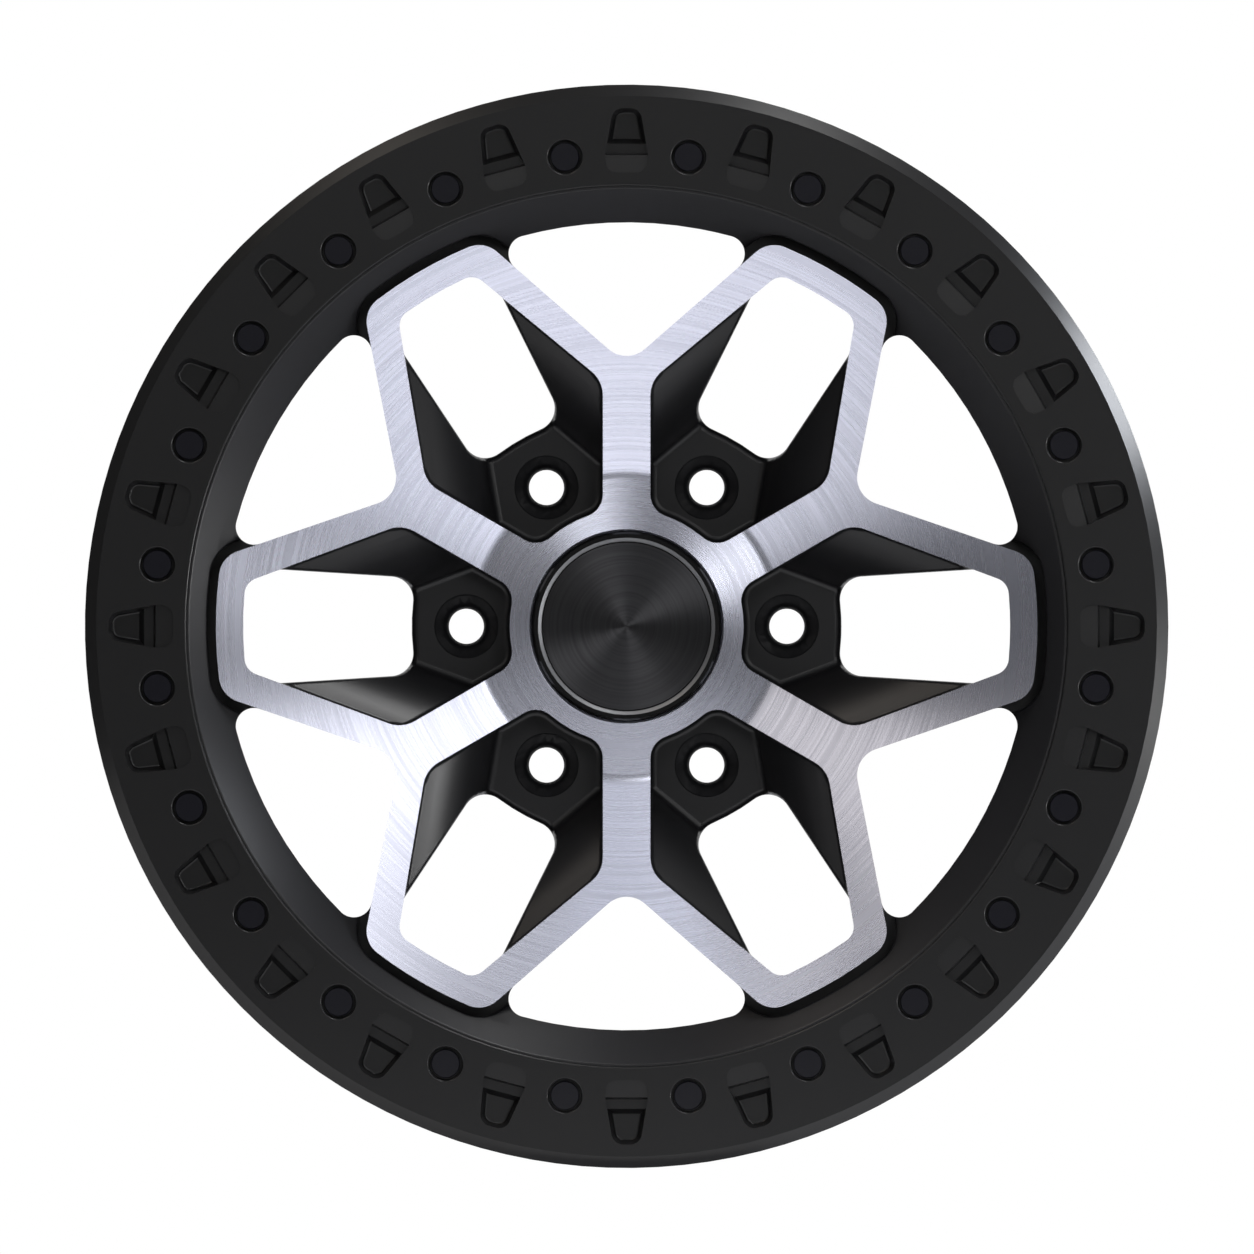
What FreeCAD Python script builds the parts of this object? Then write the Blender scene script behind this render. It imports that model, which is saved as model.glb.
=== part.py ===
import FreeCAD, Part
import math
import os
import Sketcher

# Truck wheel, 17 x 9 inch, six lugs on 139.7 mm, with a bolted clamp ring.
# Y is the spin axis with the outboard face towards -Y, Z is up, millimetres.

SIZES = {
    # Rim, from the bead seat's radius and the half width between the flanges.
    "bead_seat_r": 218.3,
    "rim_half": 114.3,
    "flange_thick": 11.7,
    "flange_height": 17.5,
    "flange_foot": 6.0,
    "flange_rise": 4.0,
    "flange_edge": 2.0,
    "flange_bevel": 3.0,
    "flange_wall": 8.0,
    "bead_taper": 2.5,
    "bead_wide": 22.0,
    "hump_tall": 1.3,
    "hump_run": 6.0,
    "ledge_run": 6.0,
    "ledge_rise": 13.0,
    "ledge_slope": 35.0,
    "well_deep": 18.3,
    "well_wide": 52.0,
    "well_slope": 25.0,
    "well_round": 10.0,
    "barrel_wall": 6.5,
    "edge_round": 2.0,
    "valve_r": 5.65,
    "valve_in": 39.0,
    # Outboard seat for the ring.
    "ring_over": 0.4,
    "ring_wide": 44.1,
    "pilot_gap": 0.1,
    "pilot_sunk": 1.0,
    "seat_drop": 1.3,
    "bead_slot": 17.3,
    "shoulder_step": 7.2,
    "shoulder_wall": 8.0,
    "lip_land": 1.1,
    "lip_wide": 14.9,
    "lip_drop": 17.0,
    "lip_reach": 10.1,
    "lip_edge": 0.8,
    # Trench between the lip and the end of each loop.
    "trench_wide": 4.1,
    "trench_deep": 22.0,
    "trench_reach": 34.1,
    "loop_reach": 39.1,
    "trench_round": 2.0,
    # Turned face: a dished cone on the ribs, blended into a slight dome on the hub.
    "loop_over": 3.0,
    "loop_sunk": 10.0,
    "face_in_r": 66.7,
    "face_blend": 10.0,
    "face_land": 4.0,
    "hub_sunk": 52.0,
    "hub_dome": 2.0,
    "hub_chamfer": 1.0,
    # Hub and lugs.
    "mount_y": -20.0,
    "mount_r": 86.0,
    "mount_flare": 14.0,
    "mount_tall": 22.0,
    "web_root_in": 7.0,
    "web_root_run": 11.0,
    "hub_bore_r": 53.05,
    "hub_bore_deep": 18.0,
    "clip_space_r": 44.0,
    "cap_bore_r": 38.0,
    "cap_seat_r": 41.4,
    "cap_seat_deep": 5.0,
    "cap_web": 13.0,
    "lug_circle_r": 69.85,
    "lug_hole_r": 7.65,
    "lug_seat_r": 10.6,
    "lug_seat_angle": 30.0,
    "lug_face_r": 14.0,
    "lug_face_deep": 1.5,
    "relief_in_r": 60.0,
    "relief_out_r": 80.0,
    "relief_half": 15.0,
    "relief_deep": 16.0,
    # Ribs, forks and loops. Offsets are distances of an edge line from the wheel's centre.
    "lugs": 6,
    "rib_half": 10.35,
    "pocket_in_r": 51.0,
    "loop_bar": 11.9,
    "branch_angle": 20.4,
    "branch_offset": 75.88,
    "edge_angle": 18.9,
    "edge_offset": 85.88,
    "pad_sunk": 24.0,
    "facet_tall": 34.0,
    "facet_width": 28.0,
    "facet_round": 63.7,
    "facet_past": 6.0,
    "facet_end": 17.2,
    "window_in_r": 93.7,
    "window_root_half": 21.0,
    "window_tip_half": 24.75,
    "hub_corner": 10.0,
    "fork_corner": 13.5,
    "outer_corner": 7.5,
    "root_corner": 10.0,
    "loop_corner": 12.0,
    "apex_corner": 12.0,
    "triangle_corner": 7.9,
    "pad_fillet": 3.0,
    "fold_fillet": 4.0,
    "rim_round": 3.0,
    # Clamp ring. Radii of the screws and scoops are measured from its bore.
    "ring_chamfer": 4.95,
    "ring_edge": 0.9,
    "ring_back_run": 6.0,
    "ring_back_rise": 4.0,
    "screws": 24,
    "screw_in": 14.3,
    "recess_r": 7.3,
    "recess_deep": 7.0,
    "recess_round": 1.5,
    "ring_hole_r": 4.5,
    "scoop_start": 5.65,
    "scoop_widest": 14.15,
    "scoop_step": 19.15,
    "scoop_end": 33.8,
    "scoop_in_half": 9.1,
    "scoop_wide_half": 9.2,
    "scoop_out_half": 5.9,
    "scoop_corner": 5.0,
    "scoop_step_run": 0.9,
    "scoop_lip": 0.5,
    "scoop_first": 1.5,
    "scoop_second": 3.4,
    "scoop_deep": 6.0,
    "scoop_fillet": 1.6,
    # Ring screws and their caps.
    "screw_r": 4.0,
    "screw_long": 25.0,
    "screw_point": 1.0,
    "thread_gap": 0.05,
    "tap_room": 2.0,
    "head_r": 6.2,
    "head_tall": 5.0,
    "head_chamfer": 0.5,
    "socket_flats": 5.0,
    "socket_deep": 3.5,
    "plug_thick": 1.4,
    "plug_chamfer": 0.3,
    "plug_gap": 0.1,
    "plug_stem": 2.5,
    # Centre cap.
    "cap_gap": 0.3,
    "cap_chamfer": 0.8,
    "cap_rim_wide": 2.5,
    "cap_bevel": 1.6,
    "cap_disc_gap": 0.5,
    "cap_disc_thick": 0.8,
    "cap_wall": 2.0,
    "cap_rise": 1.2,
    "cap_recess": 2.0,
    "clip_gap": 0.4,
    "clip_wall": 2.2,
    "clip_barb": 1.3,
    "clip_tall": 4.0,
    "clip_taper": 0.6,
    "clips": 8,
    "clip_slot": 9.0,
    "clip_root": 3.0,
    # How far a cutter runs past what it cuts.
    "past": 4.0,
}

AXIS_MARK = 10.0
NEAR = 0.5
CLOSE = 0.05

doc = FreeCAD.newDocument("truck_wheel")
sheet = doc.addObject("Spreadsheet::Sheet", "Sizes")
for row, (alias, number) in enumerate(SIZES.items(), start=1):
    sheet.set(f"A{row}", alias)
    sheet.set(f"B{row}", str(number))
    sheet.setAlias(f"B{row}", alias)
doc.recompute()


class Size:
    """A number that also carries the sheet expression it comes from."""

    def __init__(self, value, text):
        self.value = value
        self.text = text

    def join(self, other, sign, value):
        return Size(value, f"({self.text} {sign} {as_size(other).text})")

    def __add__(self, other):
        return self.join(other, "+", self.value + as_size(other).value)

    def __sub__(self, other):
        return self.join(other, "-", self.value - as_size(other).value)

    def __mul__(self, other):
        return self.join(other, "*", self.value * as_size(other).value)

    def __truediv__(self, other):
        return self.join(other, "/", self.value / as_size(other).value)

    def __neg__(self):
        return as_size(0) - self


def as_size(number):
    return number if isinstance(number, Size) else Size(number, repr(number))


def cell(alias):
    return Size(SIZES[alias], f"Sizes.{alias}")


def sine(angle):
    angle = as_size(angle)
    return Size(math.sin(math.radians(angle.value)), f"sin({angle.text} * 1 deg)")


def cosine(angle):
    angle = as_size(angle)
    return Size(math.cos(math.radians(angle.value)), f"cos({angle.text} * 1 deg)")


def root(number):
    return Size(math.sqrt(number.value), f"sqrt({number.text})")


def line_meets_circle(offset, angle, radius):
    """Across-axis place where an edge line at this offset and angle meets a circle."""
    reach = root(radius * radius - offset * offset)
    return offset * cosine(angle) - reach * sine(angle)


def rib_meets_circle(offset, angle, radius):
    """The same for a line that opens away from the axis."""
    reach = root(radius * radius - offset * offset)
    return reach * sine(angle) - offset * cosine(angle)


def origin_part(body, role):
    for feature in body.Origin.OriginFeatures:
        if feature.Role == role:
            return feature
    raise ValueError(role)


def add_body(name):
    body = doc.addObject("PartDesign::Body", name)
    body.Label = name
    return body


def add_sketch(body, name, plane, level=None, turn=None, tilt=None):
    """Sketch on an origin plane, moved along its normal, turned in it or tilted about its upright axis."""
    sketch = body.newObject("Sketcher::SketchObject", name)
    sketch.AttachmentSupport = [(origin_part(body, plane), "")]
    sketch.MapMode = "FlatFace"
    for axis, angle in (((0, 0, 1), turn), ((0, 1, 0), tilt)):
        if angle is not None:
            spin = FreeCAD.Rotation(FreeCAD.Vector(*axis), angle.value)
            sketch.AttachmentOffset = FreeCAD.Placement(FreeCAD.Vector(0, 0, 0), spin)
            sketch.setExpression("AttachmentOffset.Rotation.Angle", f"{angle.text} * 1 deg")
    if level is not None:
        sketch.setExpression("AttachmentOffset.Base.z", level.text)
    return sketch


def bind(sketch, name, constraint, size):
    index = sketch.addConstraint(constraint)
    sketch.renameConstraint(index, name)
    sketch.setExpression(f"Constraints.{name}", size.text)


def draw_outline(sketch, corners):
    """Closed outline. A corner is (x, y) or (x, y, radius), where the radius makes the edge that
    starts there an arc: centred on the sketch's origin if x is None, else bulging to its right,
    or to its left where the radius is negative."""
    points = []
    for x, y, *radius in corners:
        if x is None:
            reach = radius[0].value
            points.append(FreeCAD.Vector(math.sqrt(reach ** 2 - y.value ** 2), y.value, 0))
        else:
            points.append(FreeCAD.Vector(as_size(x).value, as_size(y).value, 0))
    count = len(corners)
    centred = [len(corner) == 3 and corner[0] is None for corner in corners]
    for index, corner in enumerate(corners):
        start, end = points[index], points[(index + 1) % count]
        if len(corner) == 3:
            middle = arc_middle(start, end, corner[2].value, centred[index])
            sketch.addGeometry(Part.Arc(start, middle, end))
        else:
            sketch.addGeometry(Part.LineSegment(start, end))
    ends = [edge_ends(sketch, index, points[index]) for index in range(count)]
    for index in range(count):
        after = (index + 1) % count
        sketch.addConstraint(Sketcher.Constraint("Coincident", index, ends[index][1], after, ends[after][0]))
    for index, corner in enumerate(corners):
        on_arc = centred[index] or centred[index - 1]
        if not on_arc:
            place = Sketcher.Constraint("DistanceX", -1, 1, index, ends[index][0], points[index].x)
            bind(sketch, f"across_{index}", place, as_size(corner[0]))
        place = Sketcher.Constraint("DistanceY", -1, 1, index, ends[index][0], points[index].y)
        bind(sketch, f"along_{index}", place, as_size(corner[1]))
        if len(corner) == 3:
            if centred[index]:
                sketch.addConstraint(Sketcher.Constraint("Coincident", index, 3, -1, 1))
            size = corner[2] if corner[2].value > 0 else -corner[2]
            bind(sketch, f"radius_{index}", Sketcher.Constraint("Radius", index, size.value), size)


def arc_middle(start, end, radius, centred):
    middle = (start + end) * 0.5
    if centred:
        return middle.normalize() * radius
    chord = end - start
    side = FreeCAD.Vector(chord.y, -chord.x, 0).normalize() * math.copysign(1, radius)
    return middle + side * (abs(radius) - math.sqrt(radius ** 2 - chord.Length ** 2 / 4))


def edge_ends(sketch, index, start):
    """Numbers of an edge's start and end points, which an arc can hold the other way round."""
    forward = sketch.getPoint(index, 1).distanceToPoint(start) < sketch.getPoint(index, 2).distanceToPoint(start)
    return (1, 2) if forward else (2, 1)


def draw_circle(sketch, y, radius):
    """Circle on the sketch's upright axis."""
    centre = FreeCAD.Vector(0, y.value, 0)
    index = sketch.addGeometry(Part.Circle(centre, FreeCAD.Vector(0, 0, 1), radius.value))
    sketch.addConstraint(Sketcher.Constraint("PointOnObject", index, 3, -2))
    bind(sketch, "along", Sketcher.Constraint("DistanceY", -1, 1, index, 3, y.value), y)
    bind(sketch, "radius", Sketcher.Constraint("Radius", index, radius.value), radius)


def finish_feature(body, feature):
    body.Tip = feature
    doc.recompute()
    if "Invalid" in feature.State or feature.Shape.isNull():
        raise ValueError(f"{body.Label}.{feature.Name} did not build: {feature.State}")
    return feature


def revolve(body, name, corners, axis_r=None, tilt=None):
    """Turn a (radius, y) outline about the spin axis, or about a parallel axis at axis_r."""
    sketch = add_sketch(body, name + "_profile", "XY_Plane", tilt=tilt)
    draw_outline(sketch, corners)
    axis = "V_Axis"
    if axis_r is not None:
        draw_axis(sketch, axis_r, len(corners))
        axis = "Axis0"
    feature = body.newObject("PartDesign::Revolution", name)
    feature.Profile = sketch
    feature.ReferenceAxis = (sketch, [axis])
    feature.Angle = 360
    return finish_feature(body, feature)


def draw_axis(sketch, axis_r, index):
    """Construction line parallel to the spin axis, from the sketch's own X axis upwards."""
    low = FreeCAD.Vector(axis_r.value, 0, 0)
    high = FreeCAD.Vector(axis_r.value, AXIS_MARK, 0)
    sketch.addGeometry(Part.LineSegment(low, high), True)
    sketch.addConstraint(Sketcher.Constraint("Vertical", index))
    sketch.addConstraint(Sketcher.Constraint("PointOnObject", index, 1, -1))
    sketch.addConstraint(Sketcher.Constraint("DistanceY", index, 1, index, 2, AXIS_MARK))
    bind(sketch, "axis_r", Sketcher.Constraint("DistanceX", -1, 1, index, 1, axis_r.value), axis_r)


def pad(body, name, sketch, length):
    feature = body.newObject("PartDesign::Pad", name)
    feature.Profile = sketch
    feature.setExpression("Length", length.text)
    return finish_feature(body, feature)


def pocket(body, name, sketch):
    """Cut right through, both ways from the sketch."""
    feature = body.newObject("PartDesign::Pocket", name)
    feature.Profile = sketch
    feature.Type = "ThroughAll"
    feature.SideType = "Symmetric"
    return finish_feature(body, feature)


def blind_pocket(body, name, sketch, depth, forward=False):
    """Cut to a depth, inboard from the sketch, or outboard if forward."""
    feature = body.newObject("PartDesign::Pocket", name)
    feature.Profile = sketch
    feature.Reversed = forward
    feature.setExpression("Length", depth.text)
    return finish_feature(body, feature)


def fillet(body, name, size, picks):
    """Round the tip's edges that the test picks."""
    base = body.Tip
    names = [f"Edge{number}" for number, edge in enumerate(base.Shape.Edges, start=1)
             if not edge.Degenerated and picks(edge)]
    if not names:
        raise ValueError(f"{body.Label}.{name} found no edges")
    feature = body.newObject("PartDesign::Fillet", name)
    feature.Base = (base, names)
    feature.setExpression("Radius", size.text)
    return finish_feature(body, feature)


def repeat(body, name, count, features):
    """Copy features about the spin axis."""
    feature = body.newObject("PartDesign::PolarPattern", name)
    feature.Originals = features
    feature.Axis = (origin_part(body, "Y_Axis"), [""])
    feature.Angle = 360
    feature.setExpression("Occurrences", count.text)
    return finish_feature(body, feature)


def repeat_body(body, name, count):
    """Copy the whole body about the spin axis."""
    feature = body.newObject("PartDesign::PolarPattern", name)
    feature.TransformMode = "Whole shape"
    feature.Axis = (origin_part(body, "Y_Axis"), [""])
    feature.Angle = 360
    feature.setExpression("Occurrences", count.text)
    return finish_feature(body, feature)


half_pitch = as_size(180) / cell("lugs")
screw_tilt = as_size(-180) / cell("screws")

# Radii that follow from the bead seat, from the flange inwards.
bead_r = cell("bead_seat_r")
flange_r = bead_r + cell("flange_height")
drop_r = bead_r - cell("well_deep")
ring_od = flange_r + cell("ring_over")
ring_bore = ring_od - cell("ring_wide")
shoulder_r = ring_od - cell("shoulder_step")
screw_circle = ring_bore + cell("screw_in")
lip_start = ring_bore - cell("lip_land")
lip_end = lip_start - cell("lip_wide")
lip_inside = lip_end - cell("lip_reach")
loop_r = lip_end + cell("loop_over")
pocket_out = loop_r - cell("loop_bar")
facet_end = pocket_out - cell("facet_end")

# Levels that follow from the rim's width, from the outboard face inwards.
back_y = cell("rim_half") + cell("flange_thick")
face_y = -back_y
front_y = face_y - cell("past")
ring_seat_y = -cell("rim_half")
slot_y = ring_seat_y + cell("bead_slot")
recess_y = face_y + cell("recess_deep")
screw_foot = recess_y + cell("screw_long")
pilot_y = face_y + cell("pilot_sunk")
loop_y = face_y + cell("loop_sunk")
hub_y = face_y + cell("hub_sunk")
pad_y = hub_y + cell("pad_sunk")
cap_seat_y = hub_y + cell("cap_seat_deep")
web_back_y = cap_seat_y + cell("cap_web")
clear_y = cell("mount_y") + cell("past")


def on_circle(radius, y):
    return root(radius * radius - y * y)


def both_sides(x, z):
    return [(x, z), (x, -z)]


def turned(angle, x, z):
    """A place turned about the spin axis."""
    return x * cosine(angle) - z * sine(angle), x * sine(angle) + z * cosine(angle)


def all_round(places):
    """Places copied to every loop."""
    return [turned(as_size(2 * index) * half_pitch, x, z) for index in range(SIZES["lugs"]) for x, z in places]


def is_upright(edge):
    return abs(edge.tangentAt(edge.FirstParameter).y) > 0.99


def edge_middle(edge):
    return edge.valueAt((edge.FirstParameter + edge.LastParameter) / 2)


def upright_at(*places):
    """Test for straight edges along the spin axis that stand at given (x, z) places."""

    def picks(edge):
        if edge.Curve.TypeId != "Part::GeomLine" or not is_upright(edge):
            return False
        middle = edge.CenterOfMass
        return any(math.hypot(middle.x - x.value, middle.z - z.value) < NEAR for x, z in places)

    return picks


def foot_at(level, near, far):
    """Test for edges at one level whose middle lies between two radii."""

    def picks(edge):
        middle = edge_middle(edge)
        if is_upright(edge) or abs(middle.y - level.value) > NEAR:
            return False
        return near.value < math.hypot(middle.x, middle.z) < far.value

    return picks


def circle_at(*places):
    """Test for full circles about the spin axis at given (radius, y) places."""

    def picks(edge):
        if edge.Curve.TypeId != "Part::GeomCircle":
            return False
        centre = edge.Curve.Center
        if math.hypot(centre.x, centre.z) > NEAR:
            return False
        return any(math.hypot(edge.Curve.Radius - r.value, centre.y - y.value) < CLOSE for r, y in places)

    return picks


def circle_sized(radius, y):
    """Test for circles of one radius at one level, wherever they are centred."""

    def picks(edge):
        if edge.Curve.TypeId != "Part::GeomCircle":
            return False
        return math.hypot(edge.Curve.Radius - radius.value, edge.Curve.Center.y - y.value) < CLOSE

    return picks


def pad_between(body, name, corners, low_y, high_y, turn=None):
    """Prism of an outline seen along the spin axis, from low_y forward to high_y."""
    sketch = add_sketch(body, name + "_outline", "XZ_Plane", level=-low_y, turn=turn)
    draw_outline(sketch, corners)
    return pad(body, name, sketch, low_y - high_y)


def cut_bodies(body, name, tools):
    feature = body.newObject("PartDesign::Boolean", name)
    feature.Type = "Cut"
    feature.setObjects(tools)
    return finish_feature(body, feature)


def along_edge(across, offset, angle):
    """Along-axis place on an edge line, for a place across the axis."""
    return (offset - across * cosine(angle)) / sine(angle)


def across_edge(along, offset, angle):
    """Across-axis place on an edge line, for a place along the axis."""
    return (offset - along * sine(angle)) / cosine(angle)


def build_petal_cutter():
    """What is cut between two ribs: a lug pad with two rounded facets that fall to it from the forks."""
    body = add_body("petal_cutter")
    rib, branch, slant = cell("rib_half"), cell("branch_offset"), cell("branch_angle")
    inner, outer = cell("pocket_in_r"), pocket_out
    spread = sine(half_pitch + slant)
    fork_x = (rib * cosine(slant) + branch * cosine(half_pitch)) / spread
    fork_z = (branch * sine(half_pitch) - rib * sine(slant)) / spread
    hub_z = rib_meets_circle(rib, half_pitch, inner)
    end_z = line_meets_circle(branch, slant, outer)
    pad_between(body, "petal", [
        (None, -hub_z, inner),
        (on_circle(inner, hub_z), hub_z),
        (fork_x, fork_z),
        (None, end_z, outer),
        (on_circle(outer, end_z), -end_z),
        (fork_x, -fork_z),
    ], pad_y, front_y)
    fillet(body, "hub_corners", cell("hub_corner"), upright_at(*both_sides(on_circle(inner, hub_z), hub_z)))
    fillet(body, "fork_corners", cell("fork_corner"), upright_at(*both_sides(fork_x, fork_z)))
    fillet(body, "outer_corners", cell("outer_corner"), upright_at(*both_sides(on_circle(outer, end_z), end_z)))
    section = add_sketch(body, "facet_section", "XY_Plane", tilt=slant - 90)
    draw_outline(section, facet_outline(branch))
    facet = pocket(body, "facet", section)
    mirror = body.newObject("PartDesign::Mirrored", "facet_pair")
    mirror.Originals = [facet]
    mirror.MirrorPlane = (origin_part(body, "XY_Plane"), [""])
    finish_feature(body, mirror)
    window, root_z, tip_z = cell("window_in_r"), cell("window_root_half"), cell("window_tip_half")
    tip_x = along_edge(tip_z, branch, slant)
    pad_between(body, "window", [
        (None, -root_z, window),
        (on_circle(window, root_z), root_z),
        (tip_x, tip_z),
        (None, end_z, outer),
        (on_circle(outer, end_z), -end_z),
        (tip_x, -tip_z),
    ], clear_y, front_y)
    fillet(body, "root_corners", cell("root_corner"), upright_at(*both_sides(on_circle(window, root_z), root_z)))
    fillet(body, "window_corners", cell("outer_corner"), upright_at(*both_sides(on_circle(outer, end_z), end_z)))
    fillet(body, "window_rim", cell("rim_round"), window_rim)
    fillet(body, "foot_fillets", cell("pad_fillet"), pocket_foot)
    repeat_body(body, "petals", cell("lugs"))
    return body


def facet_outline(branch):
    """Section below one facet: a convex arc down from the branch, blended into the lug pad by a hollow arc."""
    tall, width, past = cell("facet_tall"), cell("facet_width"), cell("past")
    rounding, blend = cell("facet_round"), cell("fold_fillet")
    chord = root(width * width + tall * tall)
    reach = root(rounding * rounding - chord * chord / 4)
    middle_x = branch - width / 2 + tall * reach / chord
    middle_rise = width * reach / chord - tall / 2
    rise = middle_rise + blend
    foot_x = middle_x - root((rounding + blend) * (rounding + blend) - rise * rise)
    share = rounding / (rounding + blend)
    return [
        (foot_x, pad_y, -blend),
        (middle_x - (middle_x - foot_x) * share, pad_y + middle_rise - rise * share, rounding),
        (branch, pad_y - tall),
        (branch + cell("facet_past"), pad_y - tall),
        (branch + cell("facet_past"), pad_y + past),
        (foot_x, pad_y + past),
    ]


def window_rim(edge):
    """Test for the window's front edge, on the lug pad and the facets."""
    middle = edge_middle(edge)
    if is_upright(edge) or abs(middle.z) > SIZES["window_tip_half"] + NEAR:
        return False
    inside = SIZES["window_in_r"] - 3 * NEAR < middle.x < facet_end.value
    return inside and loop_y.value < middle.y < pad_y.value + NEAR


def pocket_foot(edge):
    """Test for the foot of the walls round the lug pad and the facets."""
    middle = edge_middle(edge)
    if is_upright(edge) or middle.x > facet_end.value:
        return False
    low = loop_y.value < middle.y < pad_y.value + NEAR
    return low and wall_distance(middle.x, abs(middle.z)) < NEAR


def wall_distance(along, across):
    """Distance from a petal's nearest wall, which its rounded corners raise a little."""
    pitch, slant = math.radians(half_pitch.value), math.radians(SIZES["branch_angle"])
    rib = along * math.sin(pitch) - across * math.cos(pitch) - SIZES["rib_half"]
    branch = SIZES["branch_offset"] - along * math.sin(slant) - across * math.cos(slant)
    hub = math.hypot(along, across) - SIZES["pocket_in_r"]
    return min(rib, branch, hub)


def build_triangle_cutter():
    """Through window between two loops, with its point at the fork."""
    body = add_body("triangle_cutter")
    opening, edge = half_pitch + cell("edge_angle"), cell("edge_offset")
    apex = edge / sine(opening)
    end_z = rib_meets_circle(edge, opening, lip_end)
    pad_between(body, "triangle", [
        (apex, as_size(0)),
        (None, end_z, lip_end),
        (on_circle(lip_end, end_z), -end_z),
    ], clear_y, front_y, turn=half_pitch)
    fillet(body, "apex_corner", cell("apex_corner"), upright_at(turned(half_pitch, apex, as_size(0))))
    corners = [turned(half_pitch, x, z) for x, z in both_sides(on_circle(lip_end, end_z), end_z)]
    fillet(body, "outer_corners", cell("triangle_corner"), upright_at(*corners))
    repeat_body(body, "triangles", cell("lugs"))
    return body


def lip_level(radius):
    """Height of the lip's cone at a radius."""
    return pilot_y + (lip_start - radius) * cell("lip_drop") / cell("lip_wide")


def loop_end(radius, offset, near):
    """Outline of a loop's outer end, from a place along its axis, and its two outer corners."""
    slant = cell("edge_angle")
    bar_z = line_meets_circle(offset, slant, radius)
    near_z = across_edge(near, offset, slant)
    outline = [
        (None, bar_z, radius),
        (on_circle(radius, bar_z), -bar_z),
        (near, -near_z),
        (near, near_z),
    ]
    return outline, both_sides(on_circle(radius, bar_z), bar_z)


def build_lip_cutter():
    """What is cut round the loops: down to the lip's cone, and a deeper trench along each loop's end."""
    body = add_body("lip_cutter")
    edge, wide, floor = cell("edge_offset"), cell("trench_wide"), loop_y + cell("trench_deep")
    revolve(body, "lip", [
        (lip_inside, lip_level(lip_inside)),
        (lip_start, lip_level(lip_start)),
        (lip_start, front_y),
        (lip_inside, front_y),
    ])
    outline, corners = loop_end(loop_r + wide, edge + wide, loop_r - cell("trench_reach"))
    trench = pad_between(body, "trench", outline, floor, front_y)
    repeat(body, "trenches", cell("lugs"), [trench])
    fillet(body, "trench_corners", cell("loop_corner") + wide, upright_at(*all_round(corners)))
    fillet(body, "trench_edges", cell("trench_round"), trench_edge)
    outline, corners = loop_end(loop_r, edge, loop_r - cell("loop_reach"))
    sketch = add_sketch(body, "loop_outline", "XZ_Plane")
    draw_outline(sketch, outline)
    loop = pocket(body, "loop", sketch)
    repeat(body, "loops", cell("lugs"), [loop])
    fillet(body, "loop_corners", cell("loop_corner"), upright_at(*all_round(corners)))
    return body


def trench_edge(edge):
    """Test for the edge where a trench's wall meets the lip's cone."""
    middle = edge_middle(edge)
    radius = math.hypot(middle.x, middle.z)
    if is_upright(edge) or not lip_inside.value + NEAR < radius < lip_start.value - NEAR:
        return False
    return abs(middle.y - lip_level(as_size(radius)).value) < NEAR


def build_lug_cutter():
    """Hole for a lug stud with a conical nut seat and a shallow spot face."""
    body = add_body("lug_cutter")
    axis, floor = cell("lug_circle_r"), pad_y + cell("lug_face_deep")
    hole, seat, mouth = cell("lug_hole_r"), cell("lug_seat_r"), cell("lug_face_r")
    cone = (seat - hole) * cosine(cell("lug_seat_angle")) / sine(cell("lug_seat_angle"))
    revolve(body, "lug", [
        (axis, clear_y),
        (axis + hole, clear_y),
        (axis + hole, floor + cone),
        (axis + seat, floor),
        (axis + mouth, floor),
        (axis + mouth, pad_y - cell("past")),
        (axis, pad_y - cell("past")),
    ], axis_r=axis)
    repeat_body(body, "lug_holes", cell("lugs"))
    return body


def build_relief_cutter():
    """Hollow in the mounting face between two lugs."""
    body = add_body("relief_cutter")
    inner, outer, half = cell("relief_in_r"), cell("relief_out_r"), cell("relief_half")
    pad_between(body, "relief", [
        (inner, half),
        (outer, half),
        (outer, -half),
        (inner, -half),
    ], clear_y, cell("mount_y") - cell("relief_deep"), turn=half_pitch)
    repeat_body(body, "reliefs", cell("lugs"))
    return body


def build_tapped_cutter():
    body = add_body("tapped_cutter")
    radius, foot = cell("screw_r") + cell("thread_gap"), screw_foot + cell("tap_room")
    revolve(body, "tapped", [
        (screw_circle, foot),
        (screw_circle + radius, foot),
        (screw_circle + radius, front_y),
        (screw_circle, front_y),
    ], axis_r=screw_circle, tilt=screw_tilt)
    repeat_body(body, "tapped_holes", cell("screws"))
    return body


def build_valve_cutter():
    """Radial hole for a tyre valve, through the well's wall at the top."""
    body = add_body("valve_cutter")
    wall, past = cell("barrel_wall"), cell("past")
    sketch = add_sketch(body, "valve_outline", "XY_Plane", level=drop_r - wall - past)
    draw_circle(sketch, slot_y + cell("valve_in"), cell("valve_r"))
    pad(body, "valve", sketch, wall + past * 2)
    return body


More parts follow.
